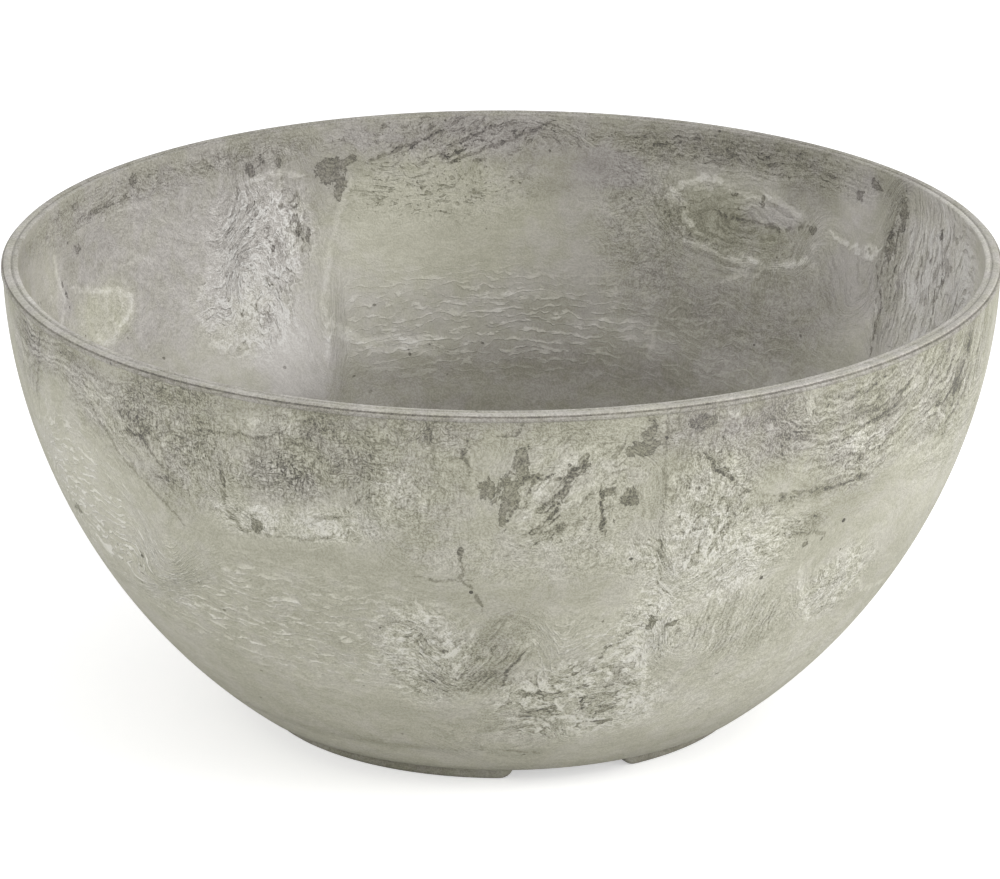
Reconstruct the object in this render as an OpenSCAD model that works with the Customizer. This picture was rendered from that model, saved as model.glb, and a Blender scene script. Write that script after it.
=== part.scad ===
// A stone-look bowl planter with a lift-out watering plate and a drain plug.
// Origin at the middle of the floor that the bowl stands on, +Z up, millimetres.

/* [Bowl] */
// Widest diameter, over the rolled lip
rim_d = 310; // [240:1:420]
// Height from the floor to the top of the rim
bowl_h = 145; // [110:1:220]
// Diameter of the edge where the wall turns under to the base
base_d = 164; // [140:1:200]
// Fullness of the wall's curve, where 1 is a cone and 2 an ellipse
fullness = 1.89; // [1.6:0.01:2.3]
// Wall thickness, square to the surface
wall = 4.8; // [4:0.1:8]
// Thickness of the bowl's floor
floor_t = 5; // [4:0.5:10]

/* [Rim] */
// How far the lip stands out past the wall
lip_out = 0.5; // [0.2:0.1:2]
// Depth of the lip's underside below the top of the rim
lip_h = 2.1; // [1.6:0.1:5]
// Depth of the groove between the lip and the ring on top
groove_h = 0.9; // [0.7:0.05:1.1]
// How far that ring stands back from the lip's outer face
ring_back = 0.8; // [0.6:0.1:1.2]
// Width of the ring
rim_ring = 2; // [1:0.1:2.4]
// Width of the shallow valley inside the ring
valley_w = 0.9; // [0.5:0.1:1.2]
// Depth of that valley
valley_h = 0.5; // [0.2:0.1:0.6]

/* [Feet] */
// Number of foot segments under the base
foot_n = 3; // [3:1:6]
// Height of the feet
foot_h = 4.6; // [3.8:0.1:10]
// Outer diameter of the ring that the feet lie on
foot_d = 154; // [120:1:170]
// Radial width of a foot
foot_w = 8; // [6:0.5:14]
// Gap between two feet, in degrees of the ring
foot_gap = 28; // [20:1:50]
// Bearing of the first gap's middle, from the front towards the right
gap_bearing = 16; // [0:1:90]
// Radius that rounds a foot's bottom edges
foot_round = 1.5; // [0.5:0.1:2.5]
// Bevel on the ends of a foot
foot_bevel = 2.5; // [0.5:0.1:3.5]

/* [Drain] */
// Bore of the drain
drain_d = 18; // [12:0.5:26]
// Wall of the collar that stands round the drain inside the bowl
collar_wall = 4; // [3:0.5:8]
// Height of the collar above the bowl's floor, which keeps some water in
collar_h = 6; // [3:0.5:12]
// Diameter of the recess under the base that the plug's flange sits in
recess_d = 34; // [32:1:60]
// Depth of that recess
recess_h = 2.2; // [1.5:0.1:3]

/* [Watering plate] */
// Depth of the water space, from the bowl's floor to the plate's underside
water_h = 21; // [16:1:40]
// Thickness of the plate
plate_t = 2.4; // [1.6:0.1:4]
// Height of the turned-up edge above the plate
edge_h = 4; // [2:0.5:10]
// Thickness of the turned-up edge
edge_t = 1.8; // [1.2:0.1:3]
// Gap between the plate's edge and the bowl's wall
plate_gap = 1; // [0.6:0.1:3]
// Number of soil cups
cup_n = 4; // [3:1:6]
// Distance of a cup's middle from the bowl's middle
cup_at = 52; // [44:1:58]
// Outer diameter of a cup at the plate
cup_top_d = 32; // [26:1:40]
// Outer diameter of a cup at its foot
cup_foot_d = 25; // [18:1:26]
// Wall of a cup
cup_wall = 2; // [1.4:0.1:3]
// Width of the slits that let water into a cup
slit_w = 3; // [2:0.5:4]
// Height of those slits
slit_h = 9; // [5:1:12]
// Diameter of a small drip hole
hole_d = 5; // [3:0.5:7]
// Distance of the inner drip holes from the middle
hole_in_at = 24; // [18:1:30]
// Distance of the outer drip holes from the middle
hole_out_at = 72; // [64:1:78]
// Length of a drain slot near the plate's edge
slot_len = 13; // [8:1:18]
// Width of a drain slot
slot_w = 3; // [2:0.5:5]
// Number of drain slots from one rib to the next
bay_slots = 3; // [1:1:4]
// Distance of a drain slot's outer end from the plate's edge
slot_margin = 7; // [5:1:12]
// Height of the ribs under the plate
rib_h = 5; // [3:0.5:8]
// Thickness of a rib
rib_t = 1.8; // [1.2:0.1:3]
// Height of the lifting knob above the plate
knob_h = 18; // [12:1:30]
// Widest diameter of the knob
knob_d = 20; // [16:1:26]
// Diameter of the knob's neck
neck_d = 11; // [8:1:14]

/* [Plug] */
// Running gap between the plug's sealing ribs and the drain, on the radius
plug_fit = 0.05; // [0.02:0.01:0.1]
// Diameter of the plug's flange
flange_d = 27; // [24:1:31]
// Thickness of the flange
flange_t = 2; // [1.2:0.1:2.5]
// Number of sealing ribs
seal_n = 3; // [2:1:4]
// Height of a sealing rib
seal_h = 1.2; // [0.8:0.1:1.6]
// How far a sealing rib stands out from the plug's core
seal_out = 0.8; // [0.4:0.1:1.5]
// How far the plug stops short of the collar's top
plug_short = 2; // [1:0.5:4]
// Length of the pull tab under the flange
tab_len = 18; // [12:1:20]
// Thickness of the pull tab
tab_t = 3; // [2:0.5:5]
// Gap between the pull tab and the floor
tab_gap = 1.2; // [0.6:0.1:2]

/* [Hidden] */
$fn = 96;

rim_r = rim_d / 2;
base_r = base_d / 2;
top_r = rim_r - lip_out;
lip_z = bowl_h - lip_h;
groove_z = bowl_h - groove_h;
ring_r = rim_r - ring_back;
ring_in_r = ring_r - rim_ring;
floor_z = foot_h + floor_t;

// Depth at which the wall's curve would close, were it carried on below the base
curve_h = (bowl_h - foot_h) / pow(1 - pow(base_r / top_r, fullness), 1 / fullness);

// Outer radius of the wall at a height, on a curve that is upright at the rim
function wall_r(z) = top_r * pow(1 - pow((bowl_h - z) / curve_h, fullness), 1 / fullness);

// Slope of that curve, in millimetres outwards for each millimetre up
slope_step = 0.05;
function wall_slope(z) = (wall_r(z + slope_step) - wall_r(z - slope_step)) / (2 * slope_step);

// Inner radius at a height, keeping the wall's thickness square to the surface
function inner_r(z) = wall_r(z) - wall * sqrt(1 + pow(wall_slope(z), 2));

// Heights that follow the curve from low to high, crowded towards the base where it bends most
wall_steps = 30;
crowding = 1.4;
function curve_heights(low, high) =
    [for (i = [0:wall_steps]) low + (high - low) * pow(i / wall_steps, crowding)];

// Bevels on the edges of the lip and on the top edges of the rim
lip_edge = 0.25;
rim_edge = 0.35;
wall_outside = [for (z = curve_heights(foot_h, lip_z)) [wall_r(z), z]];
wall_inside = [for (z = curve_heights(floor_z, bowl_h - rim_edge)) [inner_r(z), z]];
inner_top_r = inner_r(bowl_h - rim_edge);

function reversed(list) = [for (i = [len(list) - 1:-1:0]) list[i]];

foot_r = foot_d / 2;
foot_mid_r = foot_r - foot_w / 2;
foot_sweep = 360 / foot_n - foot_gap;
front = -90;
// Solids that are joined reach this far into each other
sink = 1;
// Cuts run this far past the faces that they open
past = 1;

collar_r = drain_d / 2 + collar_wall;
collar_z = floor_z + collar_h;
recess_z = foot_h + recess_h;

plate_z = floor_z + water_h;
plate_top = plate_z + plate_t;
plate_r = inner_r(plate_z) - plate_gap;
slot_r = plate_r - slot_margin - slot_len / 2;
rib_z = plate_z - rib_h;
rib_end = inner_r(rib_z) - plate_gap - rib_h;
// What stands on the plate, or hangs from it, starts halfway through its thickness
plate_mid = plate_z + plate_t / 2;
cup_turn = 180 / cup_n;
cup_floor = 2;
slit_lift = 1;
cup_r = cup_top_d / 2;
// Bearing of a drip hole, halfway from the rib at the side of a cup to the cup itself
hole_turn = (cup_turn - asin(cup_r / cup_at)) / 2;
knob_cap = knob_h / 3;

plug_r = drain_d / 2 - plug_fit;
core_r = plug_r - seal_out;
plug_top = collar_z - plug_short;
plug_nose = 1.5;
seal_span = plug_top - plug_nose - recess_z - seal_h;
seal_pitch = seal_span / seal_n;
flange_z = recess_z - flange_t;
tab_end_r = tab_t / 2;

module wall_section() {
    lip = [
        [rim_r - lip_edge, lip_z], [rim_r, lip_z + lip_edge],
        [rim_r, groove_z - lip_edge], [rim_r - lip_edge, groove_z]
    ];
    ring = [
        [ring_r, groove_z], [ring_r, bowl_h - rim_edge],
        [ring_r - rim_edge, bowl_h], [ring_in_r, bowl_h]
    ];
    valley = [
        [ring_in_r - valley_w / 2, bowl_h - valley_h], [ring_in_r - valley_w, bowl_h],
        [inner_top_r + rim_edge, bowl_h]
    ];
    rim = concat(lip, ring, valley);
    polygon(concat([[0, foot_h]], wall_outside, rim, reversed(wall_inside), [[0, floor_z]]));
}

// A foot's cross-section, rounded at both bottom corners
module foot_section() {
    straight = foot_w / 2 - foot_round;
    top = foot_h + sink;
    union() {
        translate([-straight, 0]) square([2 * straight, top]);
        translate([-foot_w / 2, foot_round]) square([foot_w, top - foot_round]);
        for (side = [-1, 1])
            intersection() {
                translate([side * straight, foot_round]) circle(r = foot_round);
                translate([-foot_w / 2, 0]) square([foot_w, foot_round]);
            }
    }
}

// Takes the corner off the end of a foot, where it meets the floor
module foot_bevel(bearing) {
    rotate([0, 0, bearing])
        translate([foot_mid_r, 0, 0])
        rotate([45, 0, 0])
        cube([foot_w + 2 * past, foot_bevel * sqrt(2), foot_bevel * sqrt(2)], center = true);
}

module foot_segment(from) {
    difference() {
        rotate([0, 0, from])
            rotate_extrude(angle = foot_sweep)
            translate([foot_mid_r, 0])
            foot_section();
        foot_bevel(from);
        foot_bevel(from + foot_sweep);
    }
}

module feet() {
    for (i = [0:foot_n - 1])
        foot_segment(front + gap_bearing + foot_gap / 2 + i * 360 / foot_n);
}

// The moulded bowl: floor, curved wall, stepped rim, feet and drain collar in one piece
module bowl_shell() {
    color("#ABAA9B")
    difference() {
        union() {
            rotate_extrude() wall_section();
            feet();
            translate([0, 0, floor_z - sink]) cylinder(h = collar_h + sink, r = collar_r);
        }
        cylinder(h = collar_z + past, d = drain_d);
        translate([0, 0, foot_h - past]) cylinder(h = recess_h + past, d = recess_d);
    }
}

module cup_body() {
    translate([0, 0, floor_z])
        cylinder(h = plate_mid - floor_z, d1 = cup_foot_d, d2 = cup_top_d);
}

module cup_hollow() {
    translate([0, 0, floor_z + cup_floor])
        cylinder(
            h = plate_top + past - floor_z - cup_floor,
            d1 = cup_foot_d - 2 * cup_wall,
            d2 = cup_top_d - 2 * cup_wall
        );
    translate([0, 0, floor_z - past]) cylinder(h = cup_floor + 2 * past, d = hole_d);
    for (a = [0, 90])
        rotate([0, 0, a])
        translate([-cup_top_d, -slit_w / 2, floor_z + cup_floor + slit_lift])
        cube([2 * cup_top_d, slit_w, slit_h]);
}

module at_cups() {
    for (i = [0:cup_n - 1])
        rotate([0, 0, cup_turn + i * 360 / cup_n])
        translate([cup_at, 0, 0])
        children();
}

module drain_slot() {
    half = slot_len / 2 - slot_w / 2;
    translate([0, 0, plate_z - past])
        linear_extrude(plate_t + 2 * past)
        union() {
            square([2 * half, slot_w], center = true);
            translate([half, 0]) circle(d = slot_w);
            translate([-half, 0]) circle(d = slot_w);
        }
}

module rib(from_r) {
    translate([from_r, -rib_t / 2, rib_z])
        cube([rib_end - from_r, rib_t, plate_mid - rib_z]);
}

// One rib from the middle passes between each pair of cups, and one starts behind each cup
module plate_ribs() {
    for (i = [0:cup_n - 1]) {
        rotate([0, 0, 2 * i * cup_turn]) rib(0);
        rotate([0, 0, (2 * i + 1) * cup_turn]) rib(cup_at + cup_r - cup_wall);
    }
}

module knob() {
    translate([0, 0, plate_mid])
        rotate_extrude()
        polygon([
            [0, 0],
            [knob_d / 2, 0],
            [knob_d / 2, plate_t],
            [neck_d / 2, plate_t + knob_cap],
            [neck_d / 2, knob_h - knob_cap],
            [knob_d / 2, knob_h - knob_cap / 2],
            [knob_d / 2, knob_h],
            [0, knob_h]
        ]);
}

module drip_hole(at, bearing) {
    rotate([0, 0, bearing])
        translate([at, 0, plate_z - past])
        cylinder(h = plate_t + 2 * past, d = hole_d);
}

module drip_holes() {
    for (i = [0:cup_n - 1]) {
        drip_hole(hole_in_at, (2 * i + 1) * cup_turn);
        for (side = [-1, 1])
            for (at = [cup_at, hole_out_at])
                drip_hole(at, 2 * i * cup_turn + side * hole_turn);
    }
}

module drain_slots() {
    for (bay = [0:2 * cup_n - 1])
        for (i = [0:bay_slots - 1])
            rotate([0, 0, (bay + (i + 0.5) / bay_slots) * cup_turn])
            translate([slot_r, 0, 0])
            drain_slot();
}

module turned_up_edge() {
    difference() {
        translate([0, 0, plate_z]) cylinder(h = plate_t + edge_h, r = plate_r);
        translate([0, 0, plate_mid]) cylinder(h = plate_t + edge_h, r = plate_r - edge_t);
    }
}

// The lift-out plate that holds the soil above the water, with cups that wick it up
module watering_plate() {
    color("#4A4C49")
    difference() {
        union() {
            translate([0, 0, plate_z]) cylinder(h = plate_t, r = plate_r);
            turned_up_edge();
            at_cups() cup_body();
            plate_ribs();
            knob();
        }
        at_cups() cup_hollow();
        drip_holes();
        drain_slots();
    }
}

module plug_section() {
    union() {
        translate([0, flange_z]) square([flange_d / 2, flange_t]);
        polygon([
            [0, flange_z + flange_t / 2],
            [core_r, flange_z + flange_t / 2],
            [core_r, plug_top - plug_nose],
            [core_r - plug_nose, plug_top],
            [0, plug_top]
        ]);
        for (i = [0:seal_n - 1])
            translate([0, recess_z + seal_h / 2 + (i + 0.5) * seal_pitch])
            square([plug_r, seal_h]);
    }
}

// The soft plug that closes the drain from below, with a tab to pull it by
module drain_plug() {
    color("#2B2B29")
    union() {
        rotate_extrude() plug_section();
        translate([0, 0, tab_gap])
            linear_extrude(flange_z + flange_t / 2 - tab_gap)
            union() {
                square([tab_len - tab_t, tab_t], center = true);
                for (side = [-1, 1])
                    translate([side * (tab_len - tab_t) / 2, 0]) circle(r = tab_end_r);
            }
    }
}

bowl_shell();
watering_plate();
drain_plug();
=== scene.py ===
import math

import bpy
import numpy as np
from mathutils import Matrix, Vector


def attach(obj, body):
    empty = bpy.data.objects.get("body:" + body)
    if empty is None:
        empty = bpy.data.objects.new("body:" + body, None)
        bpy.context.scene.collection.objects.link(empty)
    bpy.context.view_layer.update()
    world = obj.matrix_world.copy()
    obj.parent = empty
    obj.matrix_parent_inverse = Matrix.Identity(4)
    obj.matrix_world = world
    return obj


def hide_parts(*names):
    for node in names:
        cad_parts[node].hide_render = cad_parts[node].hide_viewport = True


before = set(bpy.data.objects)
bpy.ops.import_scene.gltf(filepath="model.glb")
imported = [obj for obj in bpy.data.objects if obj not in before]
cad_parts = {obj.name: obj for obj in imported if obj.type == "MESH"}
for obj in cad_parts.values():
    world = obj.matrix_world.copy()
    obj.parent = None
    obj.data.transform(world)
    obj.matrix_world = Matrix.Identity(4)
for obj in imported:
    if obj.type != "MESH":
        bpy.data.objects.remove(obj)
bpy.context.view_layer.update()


# The view. The photograph was taken from well back with a long lens, a little above the rim,
# straight at the front of the bowl, and this camera stands at the same angle.
MM = 0.001
photo_width = 1000
view_distance = 2200 * MM
view_elevation = math.radians(19.30)
aim_height = 83.9 * MM
focal_pixels = 7030
sensor_width = 36
shift_right_pixels, shift_up_pixels = -1.7, -1.1

camera = bpy.data.objects.new("camera", bpy.data.cameras.new("camera"))
camera.data.sensor_width = sensor_width
camera.data.lens = focal_pixels * sensor_width / photo_width
camera.data.shift_x = shift_right_pixels / photo_width
camera.data.shift_y = shift_up_pixels / photo_width
camera.data.clip_start = 0.1
camera.data.clip_end = 50
camera.location = (
    0,
    -view_distance * math.cos(view_elevation),
    aim_height + view_distance * math.sin(view_elevation),
)
camera.rotation_euler = (math.pi / 2 - view_elevation, 0, 0)
bpy.context.scene.collection.objects.link(camera)
bpy.context.scene.camera = camera
bpy.context.scene.view_settings.view_transform = "Standard"


# The studio. A white sweep lit by a broad soft lamp on the right and weaker ones on the left
# and overhead. The sweep is plain white to the camera and keeps the bowl's soft shadow.
def add(tree, kind, links, **settings):
    """Adds a node with its settings. A link goes to the input of that name or number."""
    made = tree.nodes.new("ShaderNode" + kind)
    for name, value in settings.items():
        setattr(made, name, value)
    for name, value in links.items():
        if isinstance(value, bpy.types.Node):
            value = next(out for out in value.outputs if out.enabled)
        if isinstance(value, bpy.types.NodeSocket):
            tree.links.new(value, made.inputs[name])
        else:
            made.inputs[name].default_value = value
    return made


def colour(hex_text):
    """An sRGB hex colour as linear values."""
    parts = [int(hex_text[i : i + 2], 16) / 255 for i in (1, 3, 5)]
    return tuple(c / 12.92 if c <= 0.04045 else ((c + 0.055) / 1.055) ** 2.4 for c in parts) + (1.0,)


# Each lamp is a square by its place and width in metres and its power in watts
lamp_aim = Vector((0, 0, 0.07))
for name, stands_at, size, watts in (
    ("key_lamp_right", (1.65, -0.70, 0.88), 1.0, 26),
    ("fill_lamp_left", (-1.5, -0.9, 0.75), 1.0, 11),
    ("top_lamp", (0.0, 0.3, 1.9), 1.2, 1.5),
):
    lamp = bpy.data.objects.new(name, bpy.data.lights.new(name, "AREA"))
    lamp.data.size = size
    lamp.data.energy = watts
    lamp.location = stands_at
    lamp.rotation_euler = (lamp.location - lamp_aim).to_track_quat("Z", "Y").to_euler()
    bpy.context.scene.collection.objects.link(lamp)

# The air is full white where it is seen or mirrored, and weaker as a light
world = bpy.data.worlds.new("studio_air")
world.use_nodes = True
bpy.context.scene.world = world
air = world.node_tree
air.nodes.clear()
path = add(air, "LightPath", {}).outputs
seen = add(air, "Math", {0: path["Is Camera Ray"], 1: path["Is Glossy Ray"]}, operation="MAXIMUM")
seen = add(air, "Math", {0: seen, 1: path["Is Transmission Ray"]}, operation="MAXIMUM")
strength = add(air, "MapRange", {"Value": seen, "To Min": 0.64, "To Max": 1.0})
air_light = add(air, "Background", {"Color": colour("#FFFFFF"), "Strength": strength})
add(air, "OutputWorld", {"Surface": air_light})

# The floor gives off a little light of its own to the camera alone, so that it reads as white
floor_radius = 4.0
floor_sides = 96
floor_mesh = bpy.data.meshes.new("studio_floor")
floor_edge = [
    (floor_radius * math.cos(a), floor_radius * math.sin(a), 0)
    for a in np.linspace(0, 2 * math.pi, floor_sides, endpoint=False)
]
floor_mesh.from_pydata(floor_edge, [], [range(floor_sides)])
floor = bpy.data.objects.new("studio_floor", floor_mesh)
bpy.context.scene.collection.objects.link(floor)
paper = bpy.data.materials.new("studio_paper")
paper.use_nodes = True
sheet = paper.node_tree
sheet.nodes.clear()
path = add(sheet, "LightPath", {}).outputs
matt = add(sheet, "BsdfDiffuse", {"Color": colour("#E7E7E7")})
lift = add(sheet, "Math", {0: path["Is Camera Ray"], 1: 0.50}, operation="MULTIPLY")
glow = add(sheet, "Emission", {"Color": colour("#FFFFFF"), "Strength": lift})
both = add(sheet, "AddShader", {0: matt, 1: glow})
add(sheet, "OutputMaterial", {"Surface": both})
floor_mesh.materials.append(paper)


# The bowl. One pressing of resin filled with stone powder: floor, wall, stepped rim and the
# three foot segments are a single moulding, and the marbling was poured with it. Its sizes are
# in mm, and places on it are a bearing from the front towards the right and a height.
rim_r = 155.0
bowl_h = 145.0
base_r = 82.0
wall_top_r = 154.5
fullness = 1.89
wall_thickness = 4.8
foot_h = 4.6
floor_z, floor_r = 9.6, 80.0
curve_h = (bowl_h - foot_h) / (1 - (base_r / wall_top_r) ** fullness) ** (1 / fullness)
wall_step = 1.8
columns = 540


def wall_radius(z):
    """The outside of the wall, a full curve from the base up to the rim."""
    return wall_top_r * (1 - ((bowl_h - z) / curve_h) ** fullness) ** (1 / fullness)


def inner_radius(z):
    """The inside of the wall, which is as thick where the wall leans as where it is upright."""
    near = 0.05
    tilt = (wall_radius(z + near) - wall_radius(z - near)) / (2 * near)
    return wall_radius(z) - wall_thickness * np.sqrt(1 + tilt**2)


def along(radius, low, high):
    """Points up a wall from one height to another, evenly spaced along its curve."""
    fine_steps = 600
    z = np.linspace(low, high, fine_steps)
    r = radius(z)
    run = np.concatenate([[0], np.cumsum(np.hypot(np.diff(r), np.diff(z)))])
    even = np.interp(np.linspace(0, run[-1], int(run[-1] / wall_step) + 1), run, z)
    return [(radius(h), h) for h in even]


def bend(centre, size, start, end, steps=4):
    """A rounded corner, from one angle to another, in degrees."""
    return [
        (centre[0] + size * math.cos(a), centre[1] + size * math.sin(a))
        for a in np.radians(np.linspace(start, end, steps + 1))
    ]


# The section, from the drain out under the base, up the outside, over the rim and back inside
bore_r, collar_r, collar_z = 9.0, 13.0, 15.6
recess_r, recess_z = 17.0, 6.8
foot_in, foot_out, foot_edge = 69.0, 77.0, 1.5
lip_low, lip_high = 142.9, 144.1
groove_r, valley_r, ring_in = 154.2, 151.75, 149.7
under = [(bore_r, z) for z in (floor_z + 3, floor_z, recess_z + 0.5)]
under += bend((bore_r + 0.5, recess_z + 0.5), 0.5, 180, 270, 2)
under += [(r, recess_z) for r in (bore_r + 2.5, recess_r - 2.5)]
under += bend((recess_r - 0.4, recess_z - 0.4), 0.4, 90, 0, 2)
under += bend((recess_r + 0.5, foot_h + 0.5), 0.5, 180, 270, 2)
under += [(r, foot_h) for r in np.linspace(recess_r + 3, foot_in - 1.2, 12)]
foot = [(foot_in - 0.4, foot_h), (foot_in, foot_h - 0.4), (foot_in, foot_h - 1.6)]
foot += bend((foot_in + foot_edge, foot_edge), foot_edge, 180, 270, 3) + [((foot_in + foot_out) / 2, 0)]
foot += bend((foot_out - foot_edge, foot_edge), foot_edge, 270, 360, 3)
foot += [(foot_out, foot_h - 1.6), (foot_out, foot_h - 0.4), (foot_out + 0.4, foot_h)]
edge = [(base_r - 3.2, foot_h), (base_r - 1.8, foot_h), (base_r - 0.8, foot_h + 0.25)]
edge += [(base_r - 0.1, foot_h + 0.8)]
outside = along(wall_radius, foot_h + 1.6, lip_low - 0.3)
lip = [(wall_top_r - 0.04, lip_low - 0.04), (rim_r - 0.25, lip_low), (rim_r, lip_low + 0.25)]
lip += [(rim_r, lip_low + 0.6), (rim_r, lip_high - 0.25), (rim_r - 0.25, lip_high)]
groove = [(groove_r + 0.2, lip_high), (groove_r + 0.02, lip_high + 0.06), (groove_r, lip_high + 0.3)]
ring = [(groove_r, bowl_h - 0.35), (groove_r - 0.15, bowl_h - 0.15)]
ring += [(r, bowl_h) for r in (groove_r - 0.35, groove_r - 1.1, valley_r + 0.55)]
valley = [(valley_r + 0.35, bowl_h - 0.1), (valley_r, bowl_h - 0.48), (valley_r - 0.35, bowl_h - 0.1)]
ring_inside = [(r, bowl_h) for r in (valley_r - 0.55, valley_r - 1.15, ring_in + 0.4)]
ring_inside += [(ring_in + 0.15, bowl_h - 0.14), (ring_in + 0.02, bowl_h - 0.35)]
inside = along(inner_radius, floor_z + 2.4, bowl_h - 0.9)[::-1]
hall = [(inner_radius(floor_z + 0.9), floor_z + 0.9)]
hall += [(inner_radius(floor_z + 0.2) - 0.6, floor_z + 0.25)]
hall += [(r, floor_z) for r in np.linspace(floor_r - 3, collar_r + 3, 16)]
collar = bend((collar_r + 1.0, floor_z + 1.0), 1.0, 270, 180, 3) + [(collar_r, floor_z + 3.4)]
collar += bend((collar_r - 0.7, collar_z - 0.7), 0.7, 0, 90, 3)
collar += bend((bore_r + 0.7, collar_z - 0.7), 0.7, 90, 180, 3)
stretches = dict(
    under=under, foot=foot, edge=edge, outside=outside, lip=lip, groove=groove, ring=ring,
    valley=valley, ring_inside=ring_inside, inside=inside, hall=hall, collar=collar,
)
section = np.array([point for points in stretches.values() for point in points])
part_of = np.array([name for name, points in stretches.items() for point in points])
rows = len(section)

# The feet: the section drops to the ground but for gaps round these bearings, with rounded ends
gap_middles = (16.0, 136.0, 256.0)
gap_half = 13.2
end_slope = 3.4
bearing = np.arange(columns) * 360 / columns
from_gap = np.min([np.abs((bearing - g + 180) % 360 - 180) for g in gap_middles], axis=0)
foot_share = np.clip((from_gap - gap_half) / end_slope, 0, 1)
foot_share = np.sqrt(1 - (1 - foot_share) ** 2)

# The section goes round in columns, and each square has its place on one map for baking
radius = np.repeat(section[:, :1], columns, axis=1)
height = np.repeat(section[:, 1:], columns, axis=1)
in_foot = part_of == "foot"
height[in_foot] = foot_h - (foot_h - height[in_foot]) * foot_share
turn = np.radians(bearing)
x, y = radius * np.sin(turn), -radius * np.cos(turn)
points = np.stack([x, y, height], -1).reshape(-1, 3) * MM
row, column = np.mgrid[0:rows, 0:columns]
row_on, column_on = (row + 1) % rows, (column + 1) % columns
corners = ((row, column), (row, column_on), (row_on, column_on), (row_on, column))
quads = np.stack([a * columns + b for a, b in corners], -1).reshape(-1, 4)
bowl_mesh = bpy.data.meshes.new("marbled_bowl")
bowl_mesh.from_pydata(points.tolist(), [], quads.tolist())
bowl_mesh.polygons.foreach_set("use_smooth", [True] * len(quads))
run = np.concatenate([[0], np.cumsum(np.linalg.norm(np.diff(section, axis=0), axis=1))])
back_to_start = 3.0
run = np.append(run, run[-1] + back_to_start) / (run[-1] + back_to_start)
across = column.reshape(-1, 1) + np.array([0, 1, 1, 0])
up = row.reshape(-1, 1) + np.array([0, 0, 1, 1])
bake_map = bowl_mesh.uv_layers.new(name="OFBake")
bake_map.uv.foreach_set("vector", np.stack([across / columns, run[up]], -1).astype(np.float32).ravel())
bowl = bpy.data.objects.new("marbled_bowl", bowl_mesh)
bpy.context.scene.collection.objects.link(bowl)
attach(bowl, "bowl")
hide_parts("bowl_shell")


# How the resin flowed. Each sweep bends the streaks around a place on the wall, at a bearing from
# the front towards the right in degrees and a height in mm: "arch" wraps over it, "cup" hangs
# under it, "eye" rings it, and "slant" crosses it at an angle, where 90 is upright. The photo
# shows half of each face, and the half behind is marbled with the same things half a turn on.
mm_per_degree = 2.6


def away_from(middle, left, right, tall, every=180):
    """Offsets from a place, and how far out of its oval each point is, where 1 is the edge."""
    side = (place - middle[0] + every / 2) % every - every / 2
    rise = level - middle[1]
    return side, rise, np.hypot(side / np.where(side < 0, left, right), rise / tall)


def inside_oval(distance, soft):
    """1 well inside an oval and 0 well outside it, with an edge of this softness."""
    share = np.clip((1 + soft - distance) / (2 * soft), 0, 1)
    return share * share * (3 - 2 * share)


# Each sweep has a kind, a middle, its reach left and right in degrees and up and down in mm,
# the softness of its edge and, for a slant, its angle
outside_sweeps = (
    ("cup", (90, 140), 13, 13, 34, 0.25, 0),
    ("eye", (92, 62), 10, 10, 15, 0.30, 0),
    ("arch", (-61, 104), 12, 22, 36, 0.30, 0),
    ("slant", (-59, 88), 13, 12, 24, 0.35, 3),
    ("slant", (-24, 122), 10, 10, 24, 0.25, 80),
    ("slant", (-6, 118), 9, 9, 30, 0.25, 90),
    ("slant", (7, 120), 8, 10, 22, 0.25, 58),
    ("slant", (23, 112), 5, 7, 30, 0.25, 82),
    ("cup", (41, 146), 19, 32, 38, 0.20, 0),
    ("slant", (32, 66), 12, 13, 18, 0.30, 84),
    ("cup", (46, 78), 7, 12, 22, 0.30, 0),
    ("slant", (12, 64), 8, 8, 14, 0.35, 28),
    ("slant", (-1, 62), 8, 7, 21, 0.30, 52),
    ("eye", (16, 36), 12, 12, 15, 0.35, 0),
    ("slant", (62, 60), 16, 18, 26, 0.40, -20),
    ("eye", (4, 24), 13, 6, 13, 0.40, 0),
)
inside_sweeps = (
    ("eye", (147, 115), 12, 12, 13, 0.30, 0),
    ("slant", (116, 116), 12, 8, 36, 0.30, 90),
    ("slant", (131, 108), 6, 6, 16, 0.40, 60),
    ("slant", (186, 136), 14, 12, 12, 0.35, -30),
    ("slant", (209, 100), 6, 9, 46, 0.25, 88),
    ("eye", (243, 104), 8, 8, 10, 0.35, 0),
    ("slant", (228, 122), 14, 14, 20, 0.45, 30),
)


def lay_flow(sweeps):
    """Lines of flow: level, swaying three times round the bowl, and bent by each sweep in turn."""
    sway = 2.5
    flow = level + sway * np.sin(np.radians(3 * place) + level / 31)
    for kind, middle, left, right, tall, soft, angle in sweeps:
        side, rise, out = away_from(middle, left, right, tall)
        if kind in ("arch", "eye"):
            own = middle[1] + tall * out
        elif kind == "cup":
            own = middle[1] - tall * out
        else:
            lean = math.radians(angle)
            own = middle[1] + rise * math.cos(lean) - side * mm_per_degree * math.sin(lean)
        share = inside_oval(out, soft)
        flow = flow * (1 - share) + own * share
    return flow


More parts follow.
